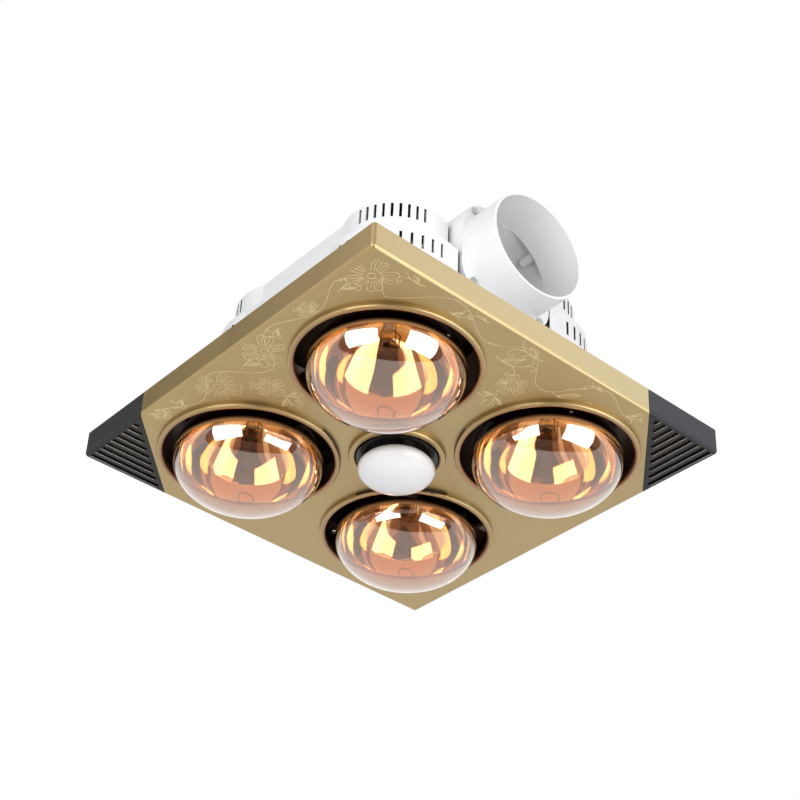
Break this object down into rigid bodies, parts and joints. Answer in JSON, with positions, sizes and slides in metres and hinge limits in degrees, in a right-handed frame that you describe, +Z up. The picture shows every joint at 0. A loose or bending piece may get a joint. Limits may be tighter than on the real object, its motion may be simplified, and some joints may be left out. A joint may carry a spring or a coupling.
{
  "type": "bathroom ceiling heat lamp",
  "caption": "Square ceiling heat lamp with reflector bulbs, a centre light, corner air grilles, and an exhaust fan with a round duct collar on its housing.",
  "frame": {"origin": "centre of the ceiling screw pattern, on the ceiling's underside, where the flange and the panel's rim end", "axes": "+Z up into the ceiling void, +X the way the exhaust duct leaves"},
  "size_m": [0.372, 0.372, 0.2445],
  "materials": {
    "panel_gold": "satin metallic gold paint",
    "black_plastic": "satin black",
    "white_plastic": "moulded white",
    "grey_plastic": "moulded grey",
    "zinc_steel": "zinc plated",
    "bright_aluminium": "plain sheet",
    "motor_paint": "black paint",
    "brass_metal": "plain",
    "black_rubber": "moulded",
    "bulb_glass": "clear front, gold mirror inside the bowl",
    "stem_glass": "clear stem with dark filament",
    "white_ceramic": "glazed",
    "opal_plastic": "opal"
  },
  "bodies": {
    "lamp_body": {"face_panel": "panel_gold", "grille_left": "black_plastic", "grille_right": "black_plastic", "grille_nuts": "zinc_steel", "panel_clips": "zinc_steel", "housing": "white_plastic", "heat_shield": "bright_aluminium", "shield_screws": "zinc_steel", "fan_scroll": "white_plastic", "scroll_screws": "zinc_steel", "motor": "motor_paint", "motor_screws": "zinc_steel", "duct_collar": "white_plastic", "collar_screws": "zinc_steel", "terminal_box": "grey_plastic", "box_screws": "zinc_steel", "terminal_cover": "grey_plastic", "cover_screws": "zinc_steel", "terminal_block": "white_plastic", "cable_gland": "black_plastic", "gland_nut": "black_plastic", "wire_grommet": "black_rubber", "light_bridge": "zinc_steel", "light_screws": "zinc_steel", "light_cup": "bright_aluminium", "light_driver": "grey_plastic", "light_board": "white_plastic", "light_collar": "black_plastic", "light_lens": "opal_plastic", "bracket_screws": "zinc_steel", "holder_screws": "zinc_steel", "lamp_holder_near": "white_ceramic", "holder_bracket_near": "zinc_steel", "lamp_holder_right": "white_ceramic", "holder_bracket_right": "zinc_steel", "lamp_holder_far": "white_ceramic", "holder_bracket_far": "zinc_steel", "lamp_holder_left": "white_ceramic", "holder_bracket_left": "zinc_steel"},
    "fan_rotor": {"motor_shaft": "zinc_steel", "impeller": "grey_plastic", "impeller_nut": "brass_metal"},
    "bulb_near": {"bulb_glass_near": "bulb_glass", "bulb_cap_near": "brass_metal", "bulb_filament_near": "stem_glass"},
    "bulb_right": {"bulb_glass_right": "bulb_glass", "bulb_cap_right": "brass_metal", "bulb_filament_right": "stem_glass"},
    "bulb_far": {"bulb_glass_far": "bulb_glass", "bulb_cap_far": "brass_metal", "bulb_filament_far": "stem_glass"},
    "bulb_left": {"bulb_glass_left": "bulb_glass", "bulb_cap_left": "brass_metal", "bulb_filament_left": "stem_glass"}
  },
  "joints": [
    {"name": "fan_spin", "type": "hinge", "parent": "lamp_body", "child": "fan_rotor", "pos_m": [-0.006, 0.026, 0.1], "axis": [0, 0, 1], "continuous": true},
    {"name": "bulb_near_unscrew", "type": "hinge", "parent": "lamp_body", "child": "bulb_near", "pos_m": [0.0874, -0.0874, 0.08], "axis": [0, 0, -1], "range_deg": [0, 360]},
    {"name": "bulb_right_unscrew", "type": "hinge", "parent": "lamp_body", "child": "bulb_right", "pos_m": [0.0874, 0.0874, 0.08], "axis": [0, 0, -1], "range_deg": [0, 360]},
    {"name": "bulb_far_unscrew", "type": "hinge", "parent": "lamp_body", "child": "bulb_far", "pos_m": [-0.0874, 0.0874, 0.08], "axis": [0, 0, -1], "range_deg": [0, 360]},
    {"name": "bulb_left_unscrew", "type": "hinge", "parent": "lamp_body", "child": "bulb_left", "pos_m": [-0.0874, -0.0874, 0.08], "axis": [0, 0, -1], "range_deg": [0, 360]}
  ]
}
